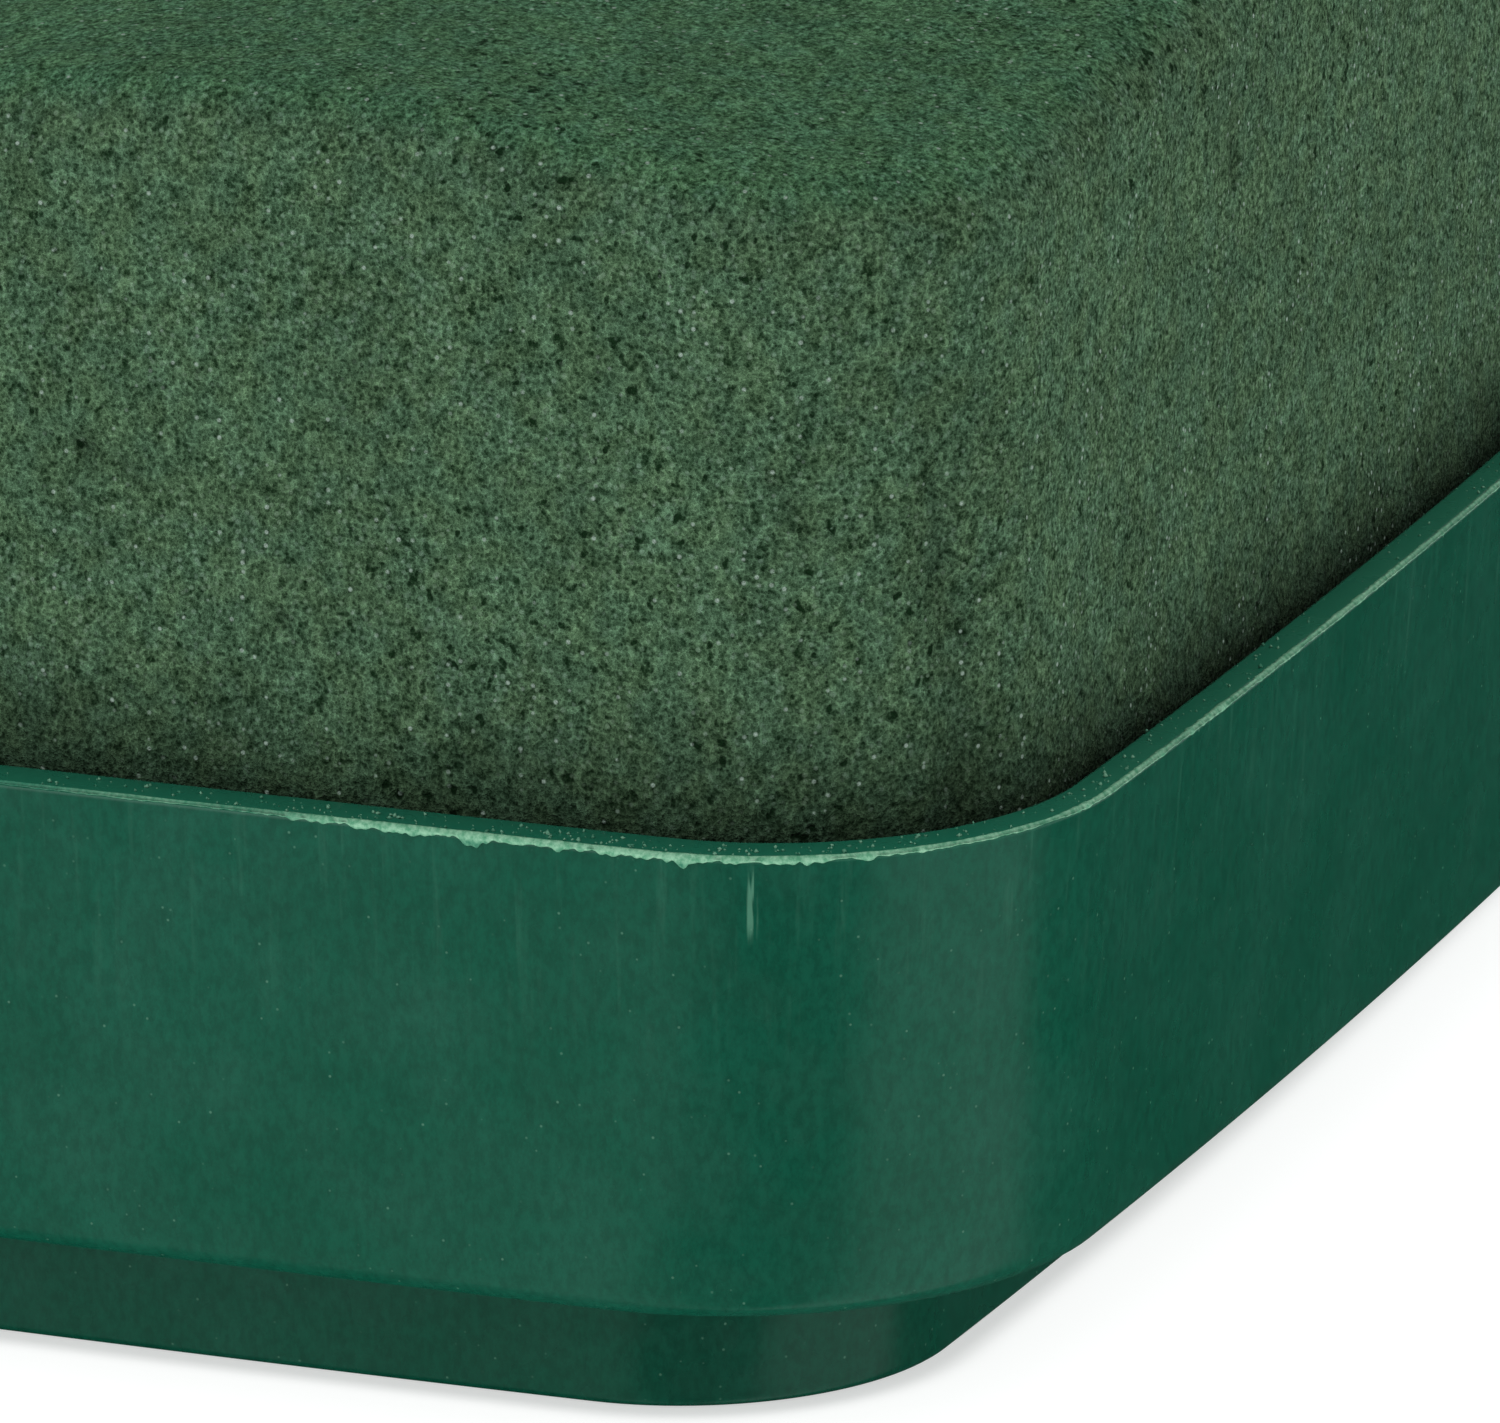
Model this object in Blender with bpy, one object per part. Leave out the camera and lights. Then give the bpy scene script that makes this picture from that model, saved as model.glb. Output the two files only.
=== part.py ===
"""Floral foam brick standing in its moulded tray, as two pieces: the foam block and the tray.

Metres, +Z up. The origin is the centre of the tray's base. +X runs along the brick's length and -Y faces the
front. The foam lifts straight up out of the tray.
"""

import math

import bmesh
import bpy
from mathutils import Matrix, Vector

MM = 0.001

# The foam brick, level with the tray's rim and across the middle, where it is widest.
FOAM_LENGTH = 230 * MM
FOAM_WIDTH = 110 * MM
FOAM_HEIGHT = 80 * MM
FOAM_CORNER = 20 * MM  # plan radius of the upright corners where the tray holds them
FOAM_TOP_CORNER = 17 * MM  # and at the top
FOAM_TAPER = 1.1 * MM  # how far each side leans in from the rim up to the top
FOAM_TOP_EDGE = 5 * MM
FOAM_BOTTOM_EDGE = 2.5 * MM
FOAM_CROWN = 1.2 * MM  # the middle of the top stands this far above its edges
FOAM_SLUMP = 4.7 * MM  # how far the four top corners have sunk below the top's edges

# The tray's walls and rim.
RIM_HEIGHT = 44.5 * MM
RIM_WALL_LONG = 2.8 * MM  # thickness of the two long walls at the rim
RIM_WALL_SHORT = 3.9 * MM
RIM_CORNER = 23 * MM
RIM_EDGE = 0.5 * MM
WALL_DRAFT = 2.1 * MM  # how far the outside leans in from the rim down to the step
WALL_CORNER = 24.5 * MM  # plan radius at the step
WALL_EDGE = 2.3 * MM  # round on the wall's lower edge
WALL = 2.4 * MM  # thickness of the floor, the step and the foot
BOW_LONG = 4.2 * MM  # how far the long sides bulge at their middle
BOW_SHORT = 0.6 * MM

# The stepped foot.
FOOT_HEIGHT = 10.9 * MM
FOOT_INSET = 14.5 * MM
FOOT_DRAFT = 0.8 * MM
FOOT_CORNER = 18 * MM
FOOT_EDGE = 1 * MM
RING_WIDTH = 7 * MM  # the standing ring under the foot
RING_DEPTH = 0.8 * MM
FLOOR_THICKNESS = 1.8 * MM  # inside the ring

# What the tray is fitted with inside, all in one with it.
RIB_X = 34 * MM  # the two cross ribs stand at plus and minus this
RIB_THICKNESS = 2 * MM
RIB_DROP = 0.2 * MM  # how far a rib's top is below the ledge
RIB_NOTCH = 5 * MM  # radius of the notch that lets water pass under the foam
PRONG_X = 68 * MM
PRONG_Y = 18 * MM
PRONG_BASE = 3.6 * MM  # radius where a prong meets the floor
PRONG_TIP = 0.9 * MM
PRONG_HEIGHT = 24 * MM

GAP_LONG = 1.2 * MM  # between the foam and the long walls
GAP_SHORT = 0.4 * MM
SEAT_GAP = 0.3 * MM  # between the foam and the ledge it rests on

CORNER_STEPS = 9
LONG_STEPS = 12
SHORT_STEPS = 8
FILLET_STEPS = 4
PRONG_SIDES = 16
OVERSHOOT = 1 * MM  # how far a cutter passes the face it opens

LEDGE_HEIGHT = FOOT_HEIGHT + WALL
FLOOR_HEIGHT = RING_DEPTH + FLOOR_THICKNESS
FOAM_BASE = LEDGE_HEIGHT + SEAT_GAP
FOAM_TOP = FOAM_BASE + FOAM_HEIGHT
FOAM_HALF = Vector((FOAM_LENGTH / 2 - BOW_SHORT, FOAM_WIDTH / 2 - BOW_LONG))
CAVITY_HALF = FOAM_HALF + Vector((GAP_SHORT, GAP_LONG))
RIM_HALF = CAVITY_HALF + Vector((RIM_WALL_SHORT, RIM_WALL_LONG))
MEAN_RIM_WALL = (RIM_WALL_LONG + RIM_WALL_SHORT) / 2


def clear_scene():
    for obj in list(bpy.data.objects):
        bpy.data.objects.remove(obj, do_unlink=True)


def new_collection(name):
    made = bpy.data.collections.new(name)
    bpy.context.scene.collection.children.link(made)
    return made


def material(name, colour, roughness):
    made = bpy.data.materials.new(name)
    made.use_nodes = True
    shader = made.node_tree.nodes["Principled BSDF"]
    shader.inputs["Base Color"].default_value = (*colour, 1)
    shader.inputs["Roughness"].default_value = roughness
    shader.inputs["Metallic"].default_value = 0
    made.diffuse_color = (*colour, 1)
    return made


def rounded(profile):
    """The levels of a profile of (inset, height, plan radius, fillet), its corners turned into arcs."""
    levels = []
    for index, (inset, height, corner, fillet) in enumerate(profile):
        here = Vector((inset, height, corner))
        if not fillet:
            levels.append(here)
            continue
        before = Vector(profile[index - 1][:3]) - here
        after = Vector(profile[index + 1][:3]) - here
        half_angle = before.xy.angle(after.xy) / 2
        reach = fillet / math.tan(half_angle)
        start = here + before * (reach / before.xy.length)
        end = here + after * (reach / after.xy.length)
        bisector = (before.xy.normalized() + after.xy.normalized()).normalized()
        centre = here.xy + bisector * (fillet / math.sin(half_angle))
        for step in range(FILLET_STEPS + 1):
            share = step / FILLET_STEPS
            level = centre + fillet * (start.xy - centre).slerp(end.xy - centre, share)
            levels.append(Vector((*level, start.z + (end.z - start.z) * share)))
    return levels


def outline(half, inset, radius):
    """A ring of (x, y): a rectangle with round corners, whose four sides bulge a little."""
    half_x, half_y = half.x - inset, half.y - inset
    corners = []
    for quarter, (side_x, side_y) in enumerate(((1, 1), (-1, 1), (-1, -1), (1, -1))):
        centre = Vector((side_x * (half_x - radius), side_y * (half_y - radius)))
        corners.append([
            centre + Matrix.Rotation((quarter + step / CORNER_STEPS) * math.pi / 2, 2) @ Vector((radius, 0))
            for step in range(CORNER_STEPS + 1)
        ])
    ring = []
    for quarter, corner in enumerate(corners):
        ring.extend(corner)
        steps = (LONG_STEPS, SHORT_STEPS)[quarter % 2]
        following = corners[(quarter + 1) % 4][0]
        ring.extend(corner[-1].lerp(following, step / steps) for step in range(1, steps))
    return [
        Vector((
            x + math.copysign(BOW_SHORT * (1 - (y / half_y) ** 2), x),
            y + math.copysign(BOW_LONG * (1 - (x / half_x) ** 2), y),
        ))
        for x, y in ring
    ]


def loft(name, half, profile, look=None, sunk=None):
    """A closed solid through one outline for each level of the profile, which runs from the bottom up.

    Each point is lowered by what sunk gives for it.
    """
    shape = bmesh.new()
    rings = []
    for inset, height, radius in rounded(profile):
        points = [Vector((*point, height)) for point in outline(half, inset, radius)]
        if sunk:
            points = [point - Vector((0, 0, sunk(point))) for point in points]
        rings.append([shape.verts.new(point) for point in points])
    for lower, upper in zip(rings, rings[1:]):
        for index in range(len(lower)):
            following = (index + 1) % len(lower)
            shape.faces.new((lower[index], lower[following], upper[following], upper[index]))
    shape.faces.new(reversed(rings[0]))
    shape.faces.new(rings[-1])
    if sunk:
        bmesh.ops.triangulate(shape, faces=shape.faces)
    return finish(name, shape, look)


def finish(name, shape, look=None):
    bmesh.ops.recalc_face_normals(shape, faces=shape.faces)
    mesh = bpy.data.meshes.new(name)
    shape.to_mesh(mesh)
    shape.free()
    mesh.shade_smooth()
    mesh.set_sharp_from_angle(angle=math.radians(35))
    if look:
        mesh.materials.append(look)
    return bpy.data.objects.new(name, mesh)


def block(name, size, centre):
    shape = bmesh.new()
    bmesh.ops.create_cube(shape, size=1, matrix=Matrix.Translation(centre) @ Matrix.Diagonal((*size, 1)))
    return finish(name, shape)


def cone(name, low_radius, high_radius, height, base, matrix=Matrix()):
    """A round cone or cylinder that stands on base, or lies as matrix turns it."""
    shape = bmesh.new()
    bmesh.ops.create_cone(
        shape,
        cap_ends=True,
        segments=PRONG_SIDES,
        radius1=low_radius,
        radius2=high_radius,
        depth=height,
        matrix=Matrix.Translation(base) @ matrix @ Matrix.Translation((0, 0, height / 2)),
    )
    return finish(name, shape)


def combine(target, operation, tool, helpers):
    """Adds a Boolean to target and puts its tool with the helpers."""
    helpers.objects.link(tool)
    tool.hide_render = True
    tool.display_type = "WIRE"
    modifier = target.modifiers.new(tool.name, "BOOLEAN")
    modifier.operation = operation
    modifier.object = tool


def prong_places():
    for side_x in (-1, 1):
        for side_y in (-1, 1):
            yield Vector((side_x * PRONG_X, side_y * PRONG_Y, FLOOR_HEIGHT))


def make_tray(parts, helpers, look):
    foot_top = FOOT_INSET - FOOT_DRAFT
    tray = loft("tray", RIM_HALF, (
        (FOOT_INSET + RING_WIDTH, 0, FOOT_CORNER - RING_WIDTH, 0),
        (FOOT_INSET, 0, FOOT_CORNER, FOOT_EDGE),
        (foot_top, FOOT_HEIGHT, FOOT_CORNER, 0.8 * MM),
        (WALL_DRAFT, FOOT_HEIGHT, WALL_CORNER, WALL_EDGE),
        (0, RIM_HEIGHT, RIM_CORNER, RIM_EDGE),
        (MEAN_RIM_WALL / 2, RIM_HEIGHT, RIM_CORNER - MEAN_RIM_WALL / 2, 0),
    ), look)
    parts.objects.link(tray)

    # Insets below are from the cavity's mouth, which lies inside the rim.
    mouth_corner = RIM_CORNER - MEAN_RIM_WALL
    recess = foot_top + WALL - MEAN_RIM_WALL
    ledge = WALL_DRAFT + WALL - MEAN_RIM_WALL
    combine(tray, "DIFFERENCE", loft("cavity_cutter", CAVITY_HALF, (
        (recess + 8 * MM, FLOOR_HEIGHT, FOOT_CORNER - 10 * MM, 0),
        (recess + FOOT_DRAFT, FLOOR_HEIGHT, FOOT_CORNER - WALL, 1.5 * MM),
        (recess, LEDGE_HEIGHT, FOOT_CORNER - WALL, 1 * MM),
        (ledge, LEDGE_HEIGHT, WALL_CORNER - WALL, 2 * MM),
        (0, RIM_HEIGHT - RIM_EDGE, mouth_corner, 0),
        (-RIM_EDGE, RIM_HEIGHT, mouth_corner + RIM_EDGE, 0),
        (-RIM_EDGE - OVERSHOOT, RIM_HEIGHT + OVERSHOOT, mouth_corner + RIM_EDGE + OVERSHOOT, 0),
    )), helpers)
    combine(tray, "DIFFERENCE", loft("ring_cutter", RIM_HALF, (
        (FOOT_INSET + RING_WIDTH, -OVERSHOOT, FOOT_CORNER - RING_WIDTH, 0),
        (FOOT_INSET + RING_WIDTH + RING_DEPTH, RING_DEPTH, FOOT_CORNER - RING_WIDTH - RING_DEPTH, 0),
    )), helpers)

    rib_height = LEDGE_HEIGHT - RIB_DROP - FLOOR_HEIGHT
    rib_length = 2 * (RIM_HALF.y - FOOT_INSET + 0.75 * BOW_LONG)
    for number, side in enumerate((-1, 1), 1):
        rib = block(
            f"rib_{number}",
            (RIB_THICKNESS, rib_length, rib_height + RIB_THICKNESS / 2),
            Vector((side * RIB_X, 0, FLOOR_HEIGHT + rib_height / 2 - RIB_THICKNESS / 4)),
        )
        notch = cone(
            f"notch_{number}",
            RIB_NOTCH,
            RIB_NOTCH,
            RIB_THICKNESS + 2 * OVERSHOOT,
            Vector((side * RIB_X - RIB_THICKNESS / 2 - OVERSHOOT, 0, LEDGE_HEIGHT)),
            Matrix.Rotation(math.pi / 2, 4, "Y"),
        )
        combine(rib, "DIFFERENCE", notch, helpers)
        combine(tray, "UNION", rib, helpers)
    for number, place in enumerate(prong_places(), 1):
        sunk = Vector((0, 0, RING_DEPTH))
        prong = cone(f"prong_{number}", PRONG_BASE, PRONG_TIP, PRONG_HEIGHT + RING_DEPTH, place - sunk)
        combine(tray, "UNION", prong, helpers)
    return tray


def smooth(value, low, high):
    share = min(max((value - low) / (high - low), 0), 1)
    return share * share * (3 - 2 * share)


def slump(point):
    """How far a point of the foam has sunk: most at the top corners, and not at all below the rim."""
    along = smooth(abs(point.x) / FOAM_HALF.x, 0.4, 1)
    across = smooth(abs(point.y) / FOAM_HALF.y, 0, 1)
    return FOAM_SLUMP * along * across * smooth(point.z, RIM_HEIGHT, FOAM_TOP - FOAM_CROWN)


def make_foam(parts, helpers, look):
    edge_height = FOAM_TOP - FOAM_CROWN
    taper_below = WALL_DRAFT + WALL - MEAN_RIM_WALL + GAP_SHORT / 2
    foam = loft("foam_block", FOAM_HALF, (
        (20 * MM, FOAM_BASE, 8 * MM, 0),
        (taper_below, FOAM_BASE, FOAM_CORNER, FOAM_BOTTOM_EDGE),
        (0, RIM_HEIGHT, FOAM_CORNER, 0),
        (FOAM_TAPER, edge_height, FOAM_TOP_CORNER, FOAM_TOP_EDGE),
        (18 * MM, edge_height + 0.6 * FOAM_CROWN, 10 * MM, 0),
        (38 * MM, FOAM_TOP, 6 * MM, 0),
    ), look, slump)
    parts.objects.link(foam)
    for number, place in enumerate(prong_places(), 1):
        # The socket's taper is the prong's, so it clears the prong evenly all the way up.
        slope = (PRONG_BASE - PRONG_TIP) / PRONG_HEIGHT
        height = PRONG_HEIGHT + SEAT_GAP
        socket = cone(
            f"socket_{number}",
            PRONG_BASE + SEAT_GAP,
            PRONG_BASE + SEAT_GAP - slope * height,
            height,
            place,
        )
        combine(foam, "DIFFERENCE", socket, helpers)
    return foam


def main():
    clear_scene()
    parts = new_collection("floral_foam_brick")
    helpers = new_collection("cutters")
    make_tray(parts, helpers, material("tray_plastic", (0.014, 0.078, 0.047), 0.45))
    make_foam(parts, helpers, material("wet_foam", (0.045, 0.098, 0.055), 0.95))


main()
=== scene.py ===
"""The looks of a floral foam brick in its moulded tray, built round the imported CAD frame.

Metres, +Z up.
"""

import math

import bmesh
import bpy
import numpy as np
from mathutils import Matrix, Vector, noise


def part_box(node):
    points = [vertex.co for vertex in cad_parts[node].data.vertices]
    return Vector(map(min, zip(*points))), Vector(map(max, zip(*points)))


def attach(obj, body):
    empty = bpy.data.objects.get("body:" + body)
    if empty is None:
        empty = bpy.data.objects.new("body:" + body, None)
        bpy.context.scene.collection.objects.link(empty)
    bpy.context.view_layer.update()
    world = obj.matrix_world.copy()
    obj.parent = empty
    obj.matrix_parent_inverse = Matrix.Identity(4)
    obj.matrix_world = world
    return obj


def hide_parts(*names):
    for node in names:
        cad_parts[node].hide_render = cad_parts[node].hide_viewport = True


MM = 0.001
SEED = 11

# The tray, as the CAD model has it.
RIM_WALL = Vector((3.9, 2.8)) * MM  # thickness at the rim of the short and of the long walls
RIM_CORNER = 23 * MM
RIM_EDGE = 0.5 * MM
WALL_DRAFT = 2.1 * MM
WALL_CORNER = 24.5 * MM
WALL_EDGE = 2.3 * MM
WALL = 2.4 * MM
BOW = Vector((0.6, 4.2)) * MM  # bulge of the short sides and of the long sides
FOOT_HEIGHT = 10.9 * MM
FOOT_INSET = 14.5 * MM
FOOT_DRAFT = 0.8 * MM
FOOT_CORNER = 18 * MM
FOOT_EDGE = 1 * MM
RING_WIDTH = 7 * MM
RING_DEPTH = 0.8 * MM
FLOOR_HEIGHT = 2.6 * MM
LEDGE_HEIGHT = FOOT_HEIGHT + WALL
RIB_X = 34 * MM
RIB_THICKNESS = 2 * MM
RIB_DROP = 0.2 * MM
RIB_NOTCH = 5 * MM
PRONG_X = 68 * MM
PRONG_Y = 18 * MM
PRONG_BASE = 3.6 * MM
PRONG_TIP = 0.9 * MM
PRONG_HEIGHT = 24 * MM

# What the looks add to it.
RIB_EDGE = 0.25 * MM
RIB_SINK = 0.4 * MM  # how far a rib reaches into the floor
PRONG_FLARE = 1.2 * MM  # round where a prong meets the floor
PRONG_DOME = 0.54 * MM  # height of its round tip
PRONG_SINK = 0.05 * MM

# How finely the pieces are meshed.
CORNER_STEPS = 28
SIDE_STEPS = (26, 60)  # along a short and a long side
FILLET_STEPS = 6
WALL_STEP = 1.2 * MM
FLASH_STEP = 0.16 * MM
FOAM_VOXEL = 1.02 * MM
PRONG_SIDES = 32
ARC_STEPS = 18  # in a rib's notch

# Grooves in the foam, in millimetres: start, end, half width, depth and how dark the painted shade inside it
# is. The first is a broad shallow band of painted shade down the corner.
GROOVES = (
    ((-105.8, -47.6, 70), (-104.7, -48.6, 44), 5, 0.1, 0.12),
    ((-107.0, -46.6, 76), (-105.5, -47.9, 62), 1.3, 0.35, 0.16),
    ((-105.5, -47.9, 62), (-104.7, -48.6, 46), 1.6, 0.45, 0.20),
    ((-112.9, -38.4, 69), (-112.2, -40.1, 66), 0.7, 0.45, 0.45),
    ((-59.8, -52.9, 83), (-60.2, -53.0, 77), 0.9, 0.5, 0.4),
    ((-114.4, 9.5, 66.8), (-114.4, 9.2, 66.4), 0.8, 0.7, 0.55),
    ((-114.5, 6.0, 65.4), (-114.5, 5.8, 65.2), 0.7, 0.6, 0.5),
    ((-114.7, -4.4, 56.5), (-114.7, -4.6, 56.1), 0.6, 0.6, 0.5),
)
SCRATCH_PLACE = (-117.5 * MM, -38.7 * MM, 0)
SCRATCH_SPAN = (38 * MM, 44 * MM)
CRUMBS = 640
CRUMB_SIZE = (0.05 * MM, 0.17 * MM)
WORN_RIM = (-118.7 * MM, -28 * MM)  # where the rim's flash is most ragged

SKY = (0.74, 0.74, 0.74)
HORIZON = (1.0, 1.0, 1.0)
KEY_POWER = 3  # W
FLOOR_GLOW = 0.86
FLOOR_DROP = 0.1 * MM  # the floor lies this far under the tray
CONTACT_SHADOW = 3 * MM  # how far it reaches from the tray
# What the plastic mirrors from below the horizon: azimuth, half angles inside and outside, and colour.
CARDS = (
    (-113, 14, 30, (0.28, 0.46, 0.38)),
    (-6, 24, 34, (0.52, 0.64, 0.60)),
    (69, 30, 50, (0.028, 0.030, 0.030)),
)

# The camera stands far off behind a long lens and looks at the front left corner, mostly along +X.
CAMERA_AIM = Vector((-118.7, -38.98, 54.86)) * MM
CAMERA_AZIMUTH = -70.08
CAMERA_ELEVATION = 17.3
CAMERA_DISTANCE = 1.1545
CAMERA_LENS = 423.2
SENSOR = 36


# ---------------------------------------------------------------- meshes


def rounded(profile):
    """The levels of a profile of (half sizes, inset, height, plan radius, fillet), with arcs at its corners.

    Each is the half sizes and a vector of inset, height and plan radius.
    """
    levels = []
    for index, (half, inset, height, corner, fillet) in enumerate(profile):
        here = Vector((inset, height, corner))
        if not fillet:
            levels.append((half, here))
            continue
        before = Vector(profile[index - 1][1:4]) - here
        after = Vector(profile[index + 1][1:4]) - here
        half_angle = before.xy.angle(after.xy) / 2
        reach = fillet / math.tan(half_angle)
        start = here + before * (reach / before.xy.length)
        end = here + after * (reach / after.xy.length)
        bisector = (before.xy.normalized() + after.xy.normalized()).normalized()
        centre = here.xy + bisector * (fillet / math.sin(half_angle))
        for step in range(FILLET_STEPS + 1):
            share = step / FILLET_STEPS
            level = centre + fillet * (start.xy - centre).slerp(end.xy - centre, share)
            levels.append((half, Vector((*level, start.z + (end.z - start.z) * share))))
    return levels


def subdivided(levels, step):
    """The same levels with more between them, so that none are further apart than step."""
    result = [levels[0]]
    for (_, low), (half, high) in zip(levels, levels[1:]):
        count = max(1, math.ceil((high - low).xy.length / step))
        result.extend((half, low.lerp(high, share / count)) for share in range(1, count + 1))
    return result


def outline(half, inset, radius):
    """A ring of (x, y): a rectangle with round corners, whose four sides bulge a little."""
    size = np.array(half) - inset
    corners = []
    for quarter, side in enumerate(((1, 1), (-1, 1), (-1, -1), (1, -1))):
        angle = (quarter + np.linspace(0, 1, CORNER_STEPS + 1)) * math.pi / 2
        spokes = np.stack([np.cos(angle), np.sin(angle)], axis=1)
        corners.append(np.array(side) * (size - radius) + radius * spokes)
    ring = []
    for quarter, corner in enumerate(corners):
        steps = SIDE_STEPS[1 - quarter % 2]
        share = np.linspace(0, 1, steps + 1)[1:-1, None]
        ring += [corner, corner[-1] + share * (corners[(quarter + 1) % 4][0] - corner[-1])]
    ring = np.concatenate(ring)
    return ring + np.sign(ring) * np.array(BOW) * (1 - (ring / size)[:, ::-1] ** 2)


def piece(name, points, faces, look, body):
    """A smooth mesh object that rides on a body."""
    mesh = bpy.data.meshes.new(name)
    mesh.from_pydata(np.asarray(points).tolist(), [], faces)
    mesh.validate()
    return placed(name, mesh, look, body)


def placed(name, mesh, look, body):
    """An object of a mesh, smooth and in one look, that rides on a body."""
    mesh.shade_smooth()
    mesh.materials.clear()
    mesh.materials.append(look)
    made = bpy.data.objects.new(name, mesh)
    bpy.context.scene.collection.objects.link(made)
    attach(made, body)
    return made


def bridged(rings, closed=False):
    """Quads between rings, given as (how many, points in each). Closed joins the last to the first."""
    count, length = rings
    faces = []
    for ring in range(count if closed else count - 1):
        low, high = ring * length, (ring + 1) % count * length
        for index in range(length):
            after = (index + 1) % length
            faces.append((low + index, low + after, high + after, high + index))
    return faces


def resampled(ring, step):
    """Points every step or so along a closed ring, and the outward normal at each."""
    closed = np.vstack([ring, ring[:1]])
    along = np.concatenate([[0], np.cumsum(np.linalg.norm(np.diff(closed, axis=0), axis=1))])
    count = round(along[-1] / step)
    at = np.linspace(0, along[-1], count, endpoint=False)
    points = np.stack([np.interp(at, along, closed[:, axis]) for axis in (0, 1)], axis=1)
    tangent = np.roll(points, -3, axis=0) - np.roll(points, 3, axis=0)
    tangent /= np.linalg.norm(tangent, axis=1)[:, None]
    return points, np.stack([tangent[:, 1], -tangent[:, 0]], axis=1)


def ripple(points, size, lift=0.0):
    """Smooth noise from -1 to 1 at each point, with features about size across."""
    return np.array([noise.noise(Vector(p) / size + Vector((lift, lift, lift))) for p in points])


def segment_distance(points, start, end):
    """How far each point is from the segment that runs from start to end."""
    along = np.array(end - start)
    share = np.clip((points - np.array(start)) @ along / (along @ along), 0, 1)
    return np.linalg.norm(points - np.array(start) - share[:, None] * along, axis=1)


def smoothstep(values, low, high):
    """0 up to low, 1 from high, and a smooth rise between."""
    share = np.clip((values - low) / (high - low), 0, 1)
    return share * share * (3 - 2 * share)


# ---------------------------------------------------------------- materials


class Nodes:
    """Short names for the nodes that make a pattern."""

    def __init__(self, tree):
        self.tree = tree

    def add(self, kind, **settings):
        made = self.tree.nodes.new(kind)
        for name, value in settings.items():
            setattr(made, name, value)
        return made

    def feed(self, socket, value):
        if isinstance(value, bpy.types.NodeSocket):
            self.tree.links.new(value, socket)
        else:
            socket.default_value = value

    def math(self, operation, first, second=0.0, clamp=False):
        made = self.add("ShaderNodeMath", operation=operation, use_clamp=clamp)
        self.feed(made.inputs[0], first)
        self.feed(made.inputs[1], second)
        return made.outputs[0]

    def ramp(self, value, low, high, to_low=0.0, to_high=1.0, shape="SMOOTHSTEP"):
        made = self.add("ShaderNodeMapRange", interpolation_type=shape)
        for socket, given in zip(made.inputs, (value, low, high, to_low, to_high)):
            self.feed(socket, given)
        return made.outputs[0]

    def part(self, vector, axis):
        made = self.add("ShaderNodeSeparateXYZ")
        self.feed(made.inputs[0], vector)
        return made.outputs["XYZ".index(axis)]

    def mix(self, share, first, second, blend="MIX"):
        made = self.add("ShaderNodeMix", data_type="RGBA", blend_type=blend)
        self.feed(made.inputs[0], share)
        for socket, value in zip(made.inputs[6:8], (first, second)):
            self.feed(socket, (*value, 1) if isinstance(value, tuple) else value)
        return made.outputs[2]


class Look(Nodes):
    """A Principled material."""

    def __init__(self, name, **sockets):
        self.material = bpy.data.materials.new(name)
        self.material.use_nodes = True
        super().__init__(self.material.node_tree)
        self.shader = self.tree.nodes["Principled BSDF"]
        for socket, value in sockets.items():
            self.shader.inputs[socket.replace("_", " ")].default_value = value
        self.place = self.add("ShaderNodeTexCoord").outputs["Object"]
        self.turned = self.add("ShaderNodeNewGeometry").outputs["Normal"]

    def stretch(self, x, y, z):
        made = self.add("ShaderNodeVectorMath", operation="MULTIPLY")
        self.feed(made.inputs[0], self.place)
        made.inputs[1].default_value = (x, y, z)
        return made.outputs[0]

    def noise(self, size, detail=2.0, rough=0.5, place=None):
        """Noise from 0 to 1, with features about size across."""
        made = self.add("ShaderNodeTexNoise", noise_dimensions="3D")
        self.feed(made.inputs["Vector"], place or self.place)
        made.inputs["Scale"].default_value = 1 / size
        made.inputs["Detail"].default_value = detail
        made.inputs["Roughness"].default_value = rough
        return made.outputs["Fac"]

    def cells(self, size, place=None):
        """The distance to the nearest of points about size apart, and that point's random colour."""
        made = self.add("ShaderNodeTexVoronoi", voronoi_dimensions="3D", feature="F1")
        self.feed(made.inputs["Vector"], place or self.place)
        made.inputs["Scale"].default_value = 1 / size
        return made.outputs["Distance"], made.outputs["Color"]

    def colour(self, value):
        self.feed(self.shader.inputs["Base Color"], value)

    def roughness(self, value):
        self.feed(self.shader.inputs["Roughness"], value)

    def bump(self, height, distance, strength=1.0):
        made = self.add("ShaderNodeBump")
        made.inputs["Strength"].default_value = strength
        made.inputs["Distance"].default_value = distance
        self.feed(made.inputs["Height"], height)
        self.feed(self.shader.inputs["Normal"], made.outputs[0])


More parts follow.
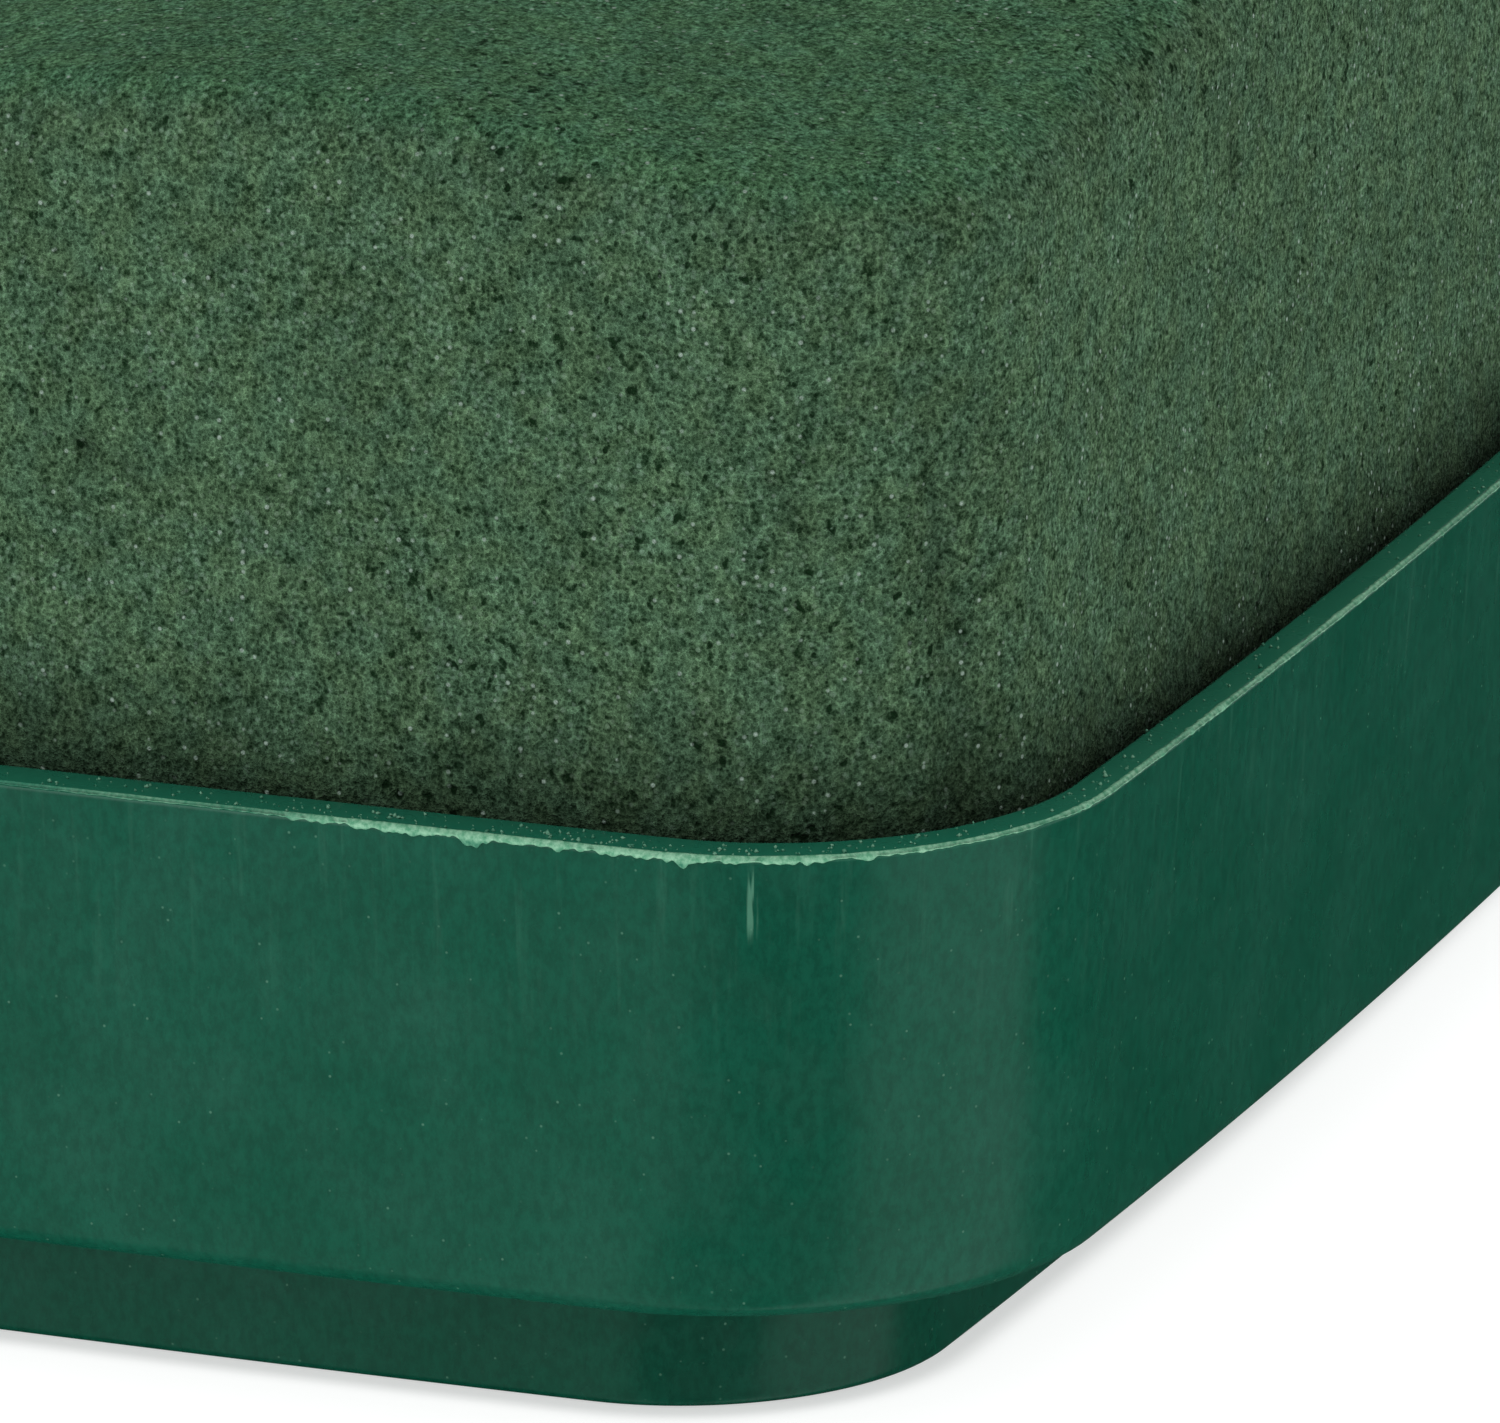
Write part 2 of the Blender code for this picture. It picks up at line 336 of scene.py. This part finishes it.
def foam_look():
    """Wet phenolic foam: a fine grain of crushed cells with open pits in painted shade, and a few bright
    specks and flecks that are painted glints; upward faces get painted teal light.
    """
    look = Look("foam_surface", Roughness=0.95, Specular_IOR_Level=0.05)
    coarse = look.ramp(look.noise(26 * MM, 2.0), 0.46, 0.64)
    grain = look.noise(0.34 * MM, 2.0, 0.7)
    crumbs = look.noise(0.8 * MM, 1.0, 0.5)
    pits = look.ramp(look.noise(0.9 * MM, 1.5, 0.5), 0.24, 0.40, 1.0, 0.0)
    pits = look.math("MULTIPLY", pits, look.math("ADD", look.math("MULTIPLY", coarse, 0.7), 0.5))
    # Painted glints: these bright flecks, and the bright specks below, stand in for light caught by cell
    # edges.
    glint_distance, glint_random = look.cells(0.5 * MM)
    painted_glints = look.math(
        "MULTIPLY",
        look.ramp(look.part(glint_random, "X"), 0.6, 1.0),
        look.ramp(glint_distance, 0.20, 0.50, 0.6, 0.0),
    )
    speck_distance, speck_random = look.cells(0.85 * MM)
    chosen = look.ramp(look.part(speck_random, "Y"), 0.6, 1.0)
    specks = look.math("MULTIPLY", look.ramp(speck_distance, 0.10, 0.24, 0.9, 0.0), chosen)

    height = look.math("ADD", look.math("MULTIPLY", grain, 1.5), look.math("MULTIPLY", crumbs, 0.6))
    height = look.math("SUBTRACT", height, look.math("MULTIPLY", pits, 0.42))
    look.bump(height, 0.5 * MM, 1.0)

    # The colour follows the bump's height: the grain's own tone, with the pits and low spots darkened as
    # painted shade.
    tone = look.math("POWER", look.ramp(height, 0.58, 1.50, shape="LINEAR"), 1.7)
    colour = look.mix(tone, (0.007, 0.026, 0.009), (0.190, 0.355, 0.200))
    colour = look.mix(painted_glints, colour, (0.21, 0.34, 0.23))
    patch = look.ramp(look.noise(7 * MM, 3.0, 0.6), 0.3, 0.7, 0.9, 1.1)
    colour = look.mix(1.0, colour, patch, "MULTIPLY")
    hue = look.ramp(look.noise(3 * MM, 2.0), 0.35, 0.65)
    colour = look.mix(1.0, colour, look.mix(hue, (1.03, 1.0, 0.96), (0.97, 1.0, 1.04)), "MULTIPLY")
    # Painted light: faces that look up are tinted lighter and more teal, as if lit from above.
    top = look.math("MULTIPLY", look.ramp(look.part(look.turned, "Z"), 0.5, 0.95), 0.6)
    colour = look.mix(top, colour, look.mix(1.0, colour, (0.95, 1.32, 1.20), "MULTIPLY"))
    # Painted shade from the mesh's shade attribute: dark inside the grooves, and a band near the rim that is
    # partly damp foam and partly painted shade.
    marks = look.add("ShaderNodeAttribute", attribute_name="shade").outputs["Fac"]
    colour = look.mix(1.0, colour, marks, "MULTIPLY")
    look.colour(look.mix(specks, colour, (0.36, 0.47, 0.40)))
    return look.material


def tray_look(top):
    """Moulded polypropylene: satin, with cloudy patches of painted sheen, brighter on the rim as painted
    light, darker on the foot as painted shade, with drag marks and dust.
    """
    look = Look("tray_moulded", Specular_IOR_Level=0.3)
    height = look.part(look.place, "Z")
    # Painted sheen: lighter cloudy patches over the plastic.
    painted_sheen = look.ramp(look.noise(14 * MM, 4.0, 0.6), 0.35, 0.75)
    mottle = look.ramp(look.noise(0.7 * MM, 4.0, 0.75, look.stretch(1, 1, 0.6)), 0.3, 0.7, 0.80, 1.14)
    drag = look.noise(1.0, 3.0, 0.65, look.stretch(900, 900, 28))
    below_rim = look.ramp(height, top - 22 * MM, top - 1 * MM)
    streaks = look.math("MULTIPLY", look.ramp(drag, 0.52, 0.78), look.math("MULTIPLY", below_rim, 0.22))
    colour = look.mix(look.math("MULTIPLY", painted_sheen, 0.3), (0.0014, 0.071, 0.040), (0.016, 0.105, 0.070))
    colour = look.mix(1.0, colour, mottle, "MULTIPLY")
    colour = look.mix(streaks, colour, (0.05, 0.20, 0.13))
    # Painted shade: darker towards the bottom, on the foot under the wall's step.
    colour = look.mix(1.0, colour, look.ramp(height, 6 * MM, 13 * MM, 0.80, 1.0), "MULTIPLY")

    apart = look.add("ShaderNodeVectorMath", operation="DISTANCE")
    look.feed(apart.inputs[0], look.stretch(1, 1, 0))
    apart.inputs[1].default_value = SCRATCH_PLACE
    beside = look.ramp(apart.outputs["Value"], 0.25 * MM, 0.45 * MM, 1.0, 0.0)
    lines = look.ramp(look.noise(1.0, 1.0, 0.5, look.stretch(3200, 3200, 120)), 0.42, 0.62)
    reach = look.math("MULTIPLY", look.ramp(height, SCRATCH_SPAN[0], SCRATCH_SPAN[0] + 2 * MM), 0.5)
    scratch = look.math("MULTIPLY", look.math("MULTIPLY", beside, lines), reach)
    colour = look.mix(scratch, colour, (0.12, 0.33, 0.22))

    # Painted light: the flat top of the rim is lighter where it faces up.
    rim = look.ramp(height, top - 0.5 * MM, top - 0.05 * MM)
    colour = look.mix(look.math("MULTIPLY", rim, 0.8), colour, (0.016, 0.180, 0.108))
    dust_distance, dust_random = look.cells(0.9 * MM)
    dusty = look.ramp(look.part(dust_random, "Z"), 0.6, 1.0)
    dust = look.math("MULTIPLY", look.ramp(dust_distance, 0.05, 0.15, 0.34, 0.0), dusty)
    dust = look.math("MULTIPLY", dust, look.math("ADD", 1.0, look.math("MULTIPLY", rim, 3.0)))
    look.colour(look.mix(dust, colour, (0.16, 0.36, 0.25)))
    look.roughness(look.ramp(look.noise(5 * MM, 3.0), 0.3, 0.7, 0.22, 0.30))
    grain = look.math("ADD", look.noise(0.6 * MM, 2.0), look.math("MULTIPLY", streaks, 2.0))
    look.bump(grain, 0.02 * MM, 0.5)
    return look.material


def flash_look(top):
    """Stress-whitened plastic: pale along the edge, where the upward crest's paleness is partly a painted
    highlight, duller below it and greener where it is less worn.
    """
    look = Look("rim_flash_white", Roughness=0.7, Specular_IOR_Level=0.1)
    tone = look.ramp(look.noise(0.45 * MM, 3.0, 0.65), 0.3, 0.7)
    pale = look.mix(tone, (0.09, 0.31, 0.18), (0.29, 0.56, 0.38))
    dull = look.mix(tone, (0.030, 0.18, 0.11), (0.14, 0.38, 0.24))
    # The crest that faces up is paler: partly stress whitening, partly a painted highlight.
    crest = look.ramp(look.part(look.place, "Z"), top - 0.65 * MM, top - 0.25 * MM)
    worn = look.add("ShaderNodeAttribute", attribute_name="worn").outputs["Fac"]
    look.colour(look.mix(worn, (0.020, 0.16, 0.10), look.mix(crest, dull, pale)))
    look.bump(look.noise(0.3 * MM, 2.0), 0.08 * MM, 0.8)
    return look.material


def crumb_look():
    """Dry shavings, pale and matt."""
    look = Look("rim_crumbs_pale", Roughness=0.8, Specular_IOR_Level=0.2)
    tone = look.ramp(look.noise(1.5 * MM, 1.0), 0.35, 0.65)
    look.colour(look.mix(tone, (0.06, 0.24, 0.15), (0.20, 0.44, 0.30)))
    return look.material


# ---------------------------------------------------------------- the tray


def tray_sizes():
    """The half sizes of the rim's outline before it bulges, and the rim's height."""
    low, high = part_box("tray")
    rim = Vector((high.x, high.y)) - BOW
    return rim, high.z


def make_tray(look):
    """The tray's shell, as one surface from under the foot, over the rim and down to the floor inside."""
    rim, top = tray_sizes()
    mouth = rim - RIM_WALL
    mean_wall = (RIM_WALL.x + RIM_WALL.y) / 2
    foot_top = FOOT_INSET - FOOT_DRAFT
    recess = foot_top + WALL - mean_wall
    ledge = WALL_DRAFT + WALL - mean_wall
    ring_inset = FOOT_INSET + RING_WIDTH
    outside = (
        (rim, ring_inset + 20 * MM, RING_DEPTH, 4 * MM, 0),
        (rim, ring_inset + RING_DEPTH, RING_DEPTH, FOOT_CORNER - RING_WIDTH - RING_DEPTH, 0.3 * MM),
        (rim, ring_inset, 0, FOOT_CORNER - RING_WIDTH, 0.3 * MM),
        (rim, FOOT_INSET, 0, FOOT_CORNER, FOOT_EDGE),
        (rim, foot_top, FOOT_HEIGHT, FOOT_CORNER, 0.8 * MM),
        (rim, WALL_DRAFT, FOOT_HEIGHT, WALL_CORNER, WALL_EDGE),
        (rim, 0, top, RIM_CORNER, RIM_EDGE),
        (rim, mean_wall / 2, top, RIM_CORNER - mean_wall / 2, 0),
    )
    inside = (
        (mouth, -mean_wall / 2, top, RIM_CORNER - mean_wall / 2, 0),
        (mouth, 0, top, RIM_CORNER - mean_wall, RIM_EDGE),
        (mouth, ledge, LEDGE_HEIGHT, WALL_CORNER - WALL, 2 * MM),
        (mouth, recess, LEDGE_HEIGHT, FOOT_CORNER - WALL, 1 * MM),
        (mouth, recess + FOOT_DRAFT, FLOOR_HEIGHT, FOOT_CORNER - WALL, 1.5 * MM),
        (mouth, recess + 22 * MM, FLOOR_HEIGHT, 3 * MM, 0),
    )
    # The last point outside and the first inside only say that the rim is flat between its two edges.
    levels = subdivided(rounded(outside)[:-1], WALL_STEP) + subdivided(rounded(inside)[1:], WALL_STEP)
    rings = [
        np.column_stack([ring, np.full(len(ring), level.y)])
        for half, level in levels
        for ring in [outline(half, level.x, level.z)]
    ]
    length = len(rings[0])
    points = np.concatenate(rings)
    faces = bridged((len(rings), length))
    faces.append(tuple(reversed(range(length))))
    faces.append(tuple(range(len(points) - length, len(points))))
    tray = piece("tray_shell", points, faces, look, "tray")
    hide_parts("tray")
    return tray


def make_flash(look):
    """The ragged whitened edge left all round the rim's outer corner."""
    rim, top = tray_sizes()
    ring = outline(rim, 0, RIM_CORNER)
    places, normals = resampled(ring, FLASH_STEP)
    flat = np.column_stack([places, np.zeros(len(places))])
    slow, quick, teeth = (ripple(flat, size * MM, SEED + size) for size in (9, 1.9, 0.5))
    near = 1 - smoothstep(np.linalg.norm(places - np.array(WORN_RIM), axis=1), 13 * MM, 25 * MM)
    long_side = smoothstep(np.abs(places[:, 1]), 40 * MM, 50 * MM)
    worn = np.clip(0.40 + 0.5 * long_side + 0.35 * slow + near, 0, 1)
    bites = np.clip(quick + 0.15, 0, 1)
    nicks = np.clip(teeth + 0.2, 0, 1) * (0.3 + np.abs(quick))
    ragged = 0.02 + 0.5 * bites + 0.5 * nicks
    drop = np.clip(0.10 + 0.12 * worn + 0.06 * quick + 0.10 * teeth + near * ragged, 0.06, 1.2) * MM
    proud = (0.06 + 0.05 * near + 0.04 * quick) * MM
    reach = np.clip(0.16 + 0.20 * worn + 0.10 * quick + 0.14 * teeth, 0.10, 0.60) * MM
    section = (
        (-reach - 0.15 * MM, -0.30 * MM),
        (-reach, 0.03 * MM),
        (-0.6 * reach, 0.06 * MM + 0.4 * proud),
        (-0.12 * MM + 0.3 * proud, 0.02 * MM + 0.5 * proud),
        (proud, -0.14 * MM),
        (proud * 1.1, -0.55 * drop),
        (proud * 0.9, -drop),
        (-0.18 * MM, -drop - 0.10 * MM),
    )
    rings = []
    for out, up in section:
        out = np.broadcast_to(out, len(places))
        height = np.broadcast_to(top + up, len(places))
        rings.append(np.column_stack([places + normals * out[:, None], height]))
    faces = bridged((len(rings), len(places)), closed=True)
    flash = piece("rim_flash", np.concatenate(rings), faces, look, "tray")
    shade = flash.data.attributes.new("worn", "FLOAT", "POINT")
    shade.data.foreach_set("value", np.tile(worn, len(rings)))
    return flash


def make_crumbs(look):
    """Tiny shavings scattered along the top of the rim, thickest round its worn corner."""
    rim, top = tray_sizes()
    random = np.random.default_rng(SEED)
    middle = (RIM_WALL.x + RIM_WALL.y) / 4
    places, normals = resampled(outline(rim, middle, RIM_CORNER - middle), FLASH_STEP)
    nearby = np.exp(-np.linalg.norm(places - np.array(WORN_RIM), axis=1) / (25 * MM))
    chances = 0.12 + nearby
    chosen = random.choice(len(places), CRUMBS, p=chances / chances.sum())
    across = (0.7 - 1.4 * random.random(CRUMBS) ** 0.7) * middle
    centres = places[chosen] - normals[chosen] * across[:, None]
    form = np.array([(1, 0, 0), (-1, 0, 0), (0, 1, 0), (0, -1, 0), (0, 0, 1), (0, 0, -1)])
    sides = [(0, 2, 4), (2, 1, 4), (1, 3, 4), (3, 0, 4), (2, 0, 5), (1, 2, 5), (3, 1, 5), (0, 3, 5)]
    points, faces = [], []
    for number, centre in enumerate(centres):
        size = CRUMB_SIZE[0] + (CRUMB_SIZE[1] - CRUMB_SIZE[0]) * random.random() ** 2
        crumb = form * size * random.uniform(0.6, 1.4, (6, 1)) + random.normal(0, 0.2 * size, (6, 3))
        points.append(crumb + (*centre, top + 0.5 * size))
        faces += [tuple(len(form) * number + corner for corner in side) for side in sides]
    return piece("rim_crumbs", np.concatenate(points), faces, look, "tray")


def make_ribs(look):
    """The two cross ribs inside the tray, each with a notch for water."""
    rim, _ = tray_sizes()
    reach = rim.y - FOOT_INSET + 0.75 * BOW.y
    height = LEDGE_HEIGHT - RIB_DROP
    arc = [
        Vector((RIB_NOTCH * math.cos(angle), height - RIB_NOTCH * math.sin(angle)))
        for angle in np.linspace(0, math.pi, ARC_STEPS + 1)
    ]
    low = FLOOR_HEIGHT - RIB_SINK
    right = [Vector((reach, low)), Vector((reach, height))]
    left = [Vector((-reach, height)), Vector((-reach, low))]
    shape = right + arc + left
    for number, x in enumerate((-RIB_X, RIB_X), 1):
        form = bmesh.new()
        face = form.faces.new([form.verts.new((x - RIB_THICKNESS / 2, *point)) for point in shape])
        grown = bmesh.ops.extrude_face_region(form, geom=[face])["geom"]
        moved = [item for item in grown if isinstance(item, bmesh.types.BMVert)]
        bmesh.ops.translate(form, verts=moved, vec=(RIB_THICKNESS, 0, 0))
        bmesh.ops.recalc_face_normals(form, faces=form.faces)
        bmesh.ops.bevel(
            form,
            geom=form.edges[:],
            offset=RIB_EDGE,
            segments=2,
            affect="EDGES",
            clamp_overlap=True,
        )
        mesh = bpy.data.meshes.new(f"tray_rib_{number}")
        form.to_mesh(mesh)
        form.free()
        placed(mesh.name, mesh, look, "tray")


def prong_profile():
    """The radius and height of a prong's levels, from its flared base up to its round tip."""
    turns = np.linspace(0, math.pi / 2, 6)
    flare = [
        (PRONG_BASE + PRONG_FLARE * (1 - math.sin(turn)), PRONG_FLARE * (1 - math.cos(turn)))
        for turn in turns
    ]
    tip = [
        (PRONG_TIP * math.cos(turn), PRONG_HEIGHT - PRONG_DOME + PRONG_DOME * math.sin(turn))
        for turn in turns
    ]
    return flare + tip


def make_prongs(look):
    """The four prongs that the foam is pressed on to."""
    angle = np.arange(PRONG_SIDES) * 2 * math.pi / PRONG_SIDES
    circle = np.stack([np.cos(angle), np.sin(angle)], axis=1)
    places = [(x, y) for x in (-PRONG_X, PRONG_X) for y in (-PRONG_Y, PRONG_Y)]
    for number, place in enumerate(places, 1):
        rings = [
            np.column_stack([place + radius * circle, np.full(PRONG_SIDES, FLOOR_HEIGHT - PRONG_SINK + up)])
            for radius, up in prong_profile()
        ]
        faces = bridged((len(rings), PRONG_SIDES))
        faces.append(tuple(reversed(range(PRONG_SIDES))))
        piece(f"tray_prong_{number}", np.concatenate(rings), faces, look, "tray")


# ---------------------------------------------------------------- the foam


def make_foam(look):
    """The CAD block, remeshed finely and then roughened, worn at its edges and pitted."""
    _, top = tray_sizes()
    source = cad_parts["foam_block"]
    work = bpy.data.objects.new("foam_work", source.data.copy())
    bpy.context.scene.collection.objects.link(work)
    weld = work.modifiers.new("weld", "WELD")
    weld.merge_threshold = 0.01 * MM
    remesh = work.modifiers.new("remesh", "REMESH")
    remesh.mode = "VOXEL"
    remesh.voxel_size = FOAM_VOXEL
    remesh.use_smooth_shade = True
    bpy.context.view_layer.update()
    graph = bpy.context.evaluated_depsgraph_get()
    mesh = bpy.data.meshes.new_from_object(work.evaluated_get(graph))
    bpy.data.objects.remove(work)

    count = len(mesh.vertices)
    points, normals = np.zeros(count * 3), np.zeros(count * 3)
    mesh.vertices.foreach_get("co", points)
    mesh.vertices.foreach_get("normal", normals)
    points, normals = points.reshape(-1, 3), normals.reshape(-1, 3)
    free = smoothstep(points[:, 2], top + 0.5 * MM, top + 5 * MM)
    broad = ripple(points, 24 * MM, 1.3)
    lumps = ripple(points, 5 * MM, 5.1)
    rough = ripple(points, 1.7 * MM, 9.7)
    worn = -np.clip(ripple(points, 2.6 * MM, 21.0) - 0.25, 0, 1)
    swell = free * (0.22 * broad + 0.13 * lumps) + (0.05 + 0.06 * free) * rough
    push = swell + 0.5 * worn * (0.3 + 0.7 * free) - 0.08
    points += normals * push[:, None] * MM

    # Grooves pressed into it with painted shade inside them, and a dark band from just above the rim down
    # into the tray, partly damp foam and partly painted shade from the rim.
    shade = 0.36 + 0.64 * smoothstep(points[:, 2] + 2 * MM * broad, top - 4 * MM, top + 12 * MM)
    for start, end, width, depth, dark in GROOVES:
        wavy = points + 0.8 * MM * lumps[:, None]
        distance = segment_distance(wavy, Vector(start) * MM, Vector(end) * MM)
        groove = np.exp(-((distance / (width * MM)) ** 2))
        points -= normals * (depth * MM * groove * (0.7 + 0.6 * rough))[:, None]
        shade *= 1 - dark * groove
    mesh.vertices.foreach_set("co", points.ravel())
    mesh.attributes.new("shade", "FLOAT", "POINT").data.foreach_set("value", shade)
    mesh.update()
    foam = placed("foam_brick", mesh, look, "foam")
    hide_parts("foam_block")
    return foam


# ---------------------------------------------------------------- stage, light and camera


def make_stage():
    """The floor, which glows a little, with its glow dimmed right beside the tray as a painted contact
    shadow.
    """
    look = Look("studio_floor", Roughness=0.8, Specular_IOR_Level=0.1)
    shade = look.ramp(look.noise(0.6, 2.0), 0.3, 0.7, 0.985, 1.0)
    look.colour(look.mix(1.0, (0.5, 0.5, 0.5), shade, "MULTIPLY"))
    look.shader.inputs["Emission Color"].default_value = (1, 1, 1, 1)
    # Painted contact shadow: the floor's glow drops where the tray occludes it.
    contact = look.add("ShaderNodeAmbientOcclusion", samples=8)
    contact.inputs["Distance"].default_value = CONTACT_SHADOW
    glow = look.ramp(contact.outputs["AO"], 0.5, 1.0, 0.56, FLOOR_GLOW)
    look.feed(look.shader.inputs["Emission Strength"], glow)
    bpy.ops.mesh.primitive_plane_add(size=16)
    floor = bpy.context.object
    floor.name = "floor"
    floor.location.z = -FLOOR_DROP
    floor.data.materials.append(look.material)
    floor.visible_glossy = False


def make_lights():
    """An even pale sky, the darker ground that the glossy plastic mirrors, and a soft key light."""
    world = bpy.data.worlds.new("studio")
    bpy.context.scene.world = world
    world.cycles.sampling_method = "NONE"
    world.use_nodes = True
    tree = world.node_tree
    look = Nodes(tree)
    direction = look.add("ShaderNodeTexCoord").outputs["Generated"]
    flat = look.add("ShaderNodeVectorMath", operation="MULTIPLY")
    look.feed(flat.inputs[0], direction)
    flat.inputs[1].default_value = (1, 1, 0)
    level = look.add("ShaderNodeVectorMath", operation="NORMALIZE")
    look.feed(level.inputs[0], flat.outputs[0])
    ground = (0.0, 0.0, 0.0)
    for azimuth, inner, outer, colour in CARDS:
        facing = look.add("ShaderNodeVectorMath", operation="DOT_PRODUCT")
        look.feed(facing.inputs[0], level.outputs[0])
        angle = math.radians(azimuth)
        facing.inputs[1].default_value = (math.sin(angle), -math.cos(angle), 0)
        limits = [math.cos(math.radians(limit)) for limit in (outer, inner)]
        share = look.ramp(facing.outputs["Value"], *limits)
        ground = look.mix(share, ground, colour)
    above = look.ramp(look.part(direction, "Z"), 0.05, 0.12)
    below = look.ramp(look.part(direction, "Z"), -0.12, 0.0, 1.0, 0.0)
    sky = look.mix(below, look.mix(above, HORIZON, SKY), ground)
    look.feed(tree.nodes["Background"].inputs["Color"], sky)
    tree.nodes["Background"].inputs["Strength"].default_value = 1.0
    data = bpy.data.lights.new("key_light", "AREA")
    data.shape = "SQUARE"
    data.size = 0.9
    data.energy = KEY_POWER
    light = bpy.data.objects.new("key_light", data)
    bpy.context.scene.collection.objects.link(light)
    around(light, Vector((0, 0, 0.04)), -112, 24, 1.6)
    light.visible_camera = False


def around(obj, target, azimuth, elevation, distance):
    """Places obj round target and turns it to face there. Azimuth 0 is the -Y side, and 90 the +X side."""
    a, e = math.radians(azimuth), math.radians(elevation)
    direction = Vector((math.sin(a) * math.cos(e), -math.cos(a) * math.cos(e), math.sin(e)))
    obj.location = target + direction * distance
    obj.rotation_euler = (-direction).to_track_quat("-Z", "Y").to_euler()


def make_camera():
    """The camera, with no shift and no depth of field."""
    data = bpy.data.cameras.new("camera")
    data.lens = CAMERA_LENS
    data.sensor_width = SENSOR
    data.clip_start = 0.05
    data.clip_end = 40
    camera = bpy.data.objects.new("camera", data)
    bpy.context.scene.collection.objects.link(camera)
    around(camera, CAMERA_AIM, CAMERA_AZIMUTH, CAMERA_ELEVATION, CAMERA_DISTANCE)
    bpy.context.scene.camera = camera


def corners(box):
    """A box as plain lists of numbers."""
    return [list(corner) for corner in box]


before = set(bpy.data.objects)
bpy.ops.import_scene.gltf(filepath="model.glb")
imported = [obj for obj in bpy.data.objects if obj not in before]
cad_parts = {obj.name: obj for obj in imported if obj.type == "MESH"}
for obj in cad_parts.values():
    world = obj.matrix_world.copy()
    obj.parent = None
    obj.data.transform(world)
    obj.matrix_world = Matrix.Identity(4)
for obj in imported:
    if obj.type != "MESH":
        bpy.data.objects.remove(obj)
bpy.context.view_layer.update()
bpy.context.scene.view_settings.view_transform = "Standard"
make_camera()
make_stage()
make_lights()
plastic = tray_look(tray_sizes()[1])
make_tray(plastic)
make_flash(flash_look(tray_sizes()[1]))
make_crumbs(crumb_look())
make_ribs(plastic)
make_prongs(plastic)
make_foam(foam_look())
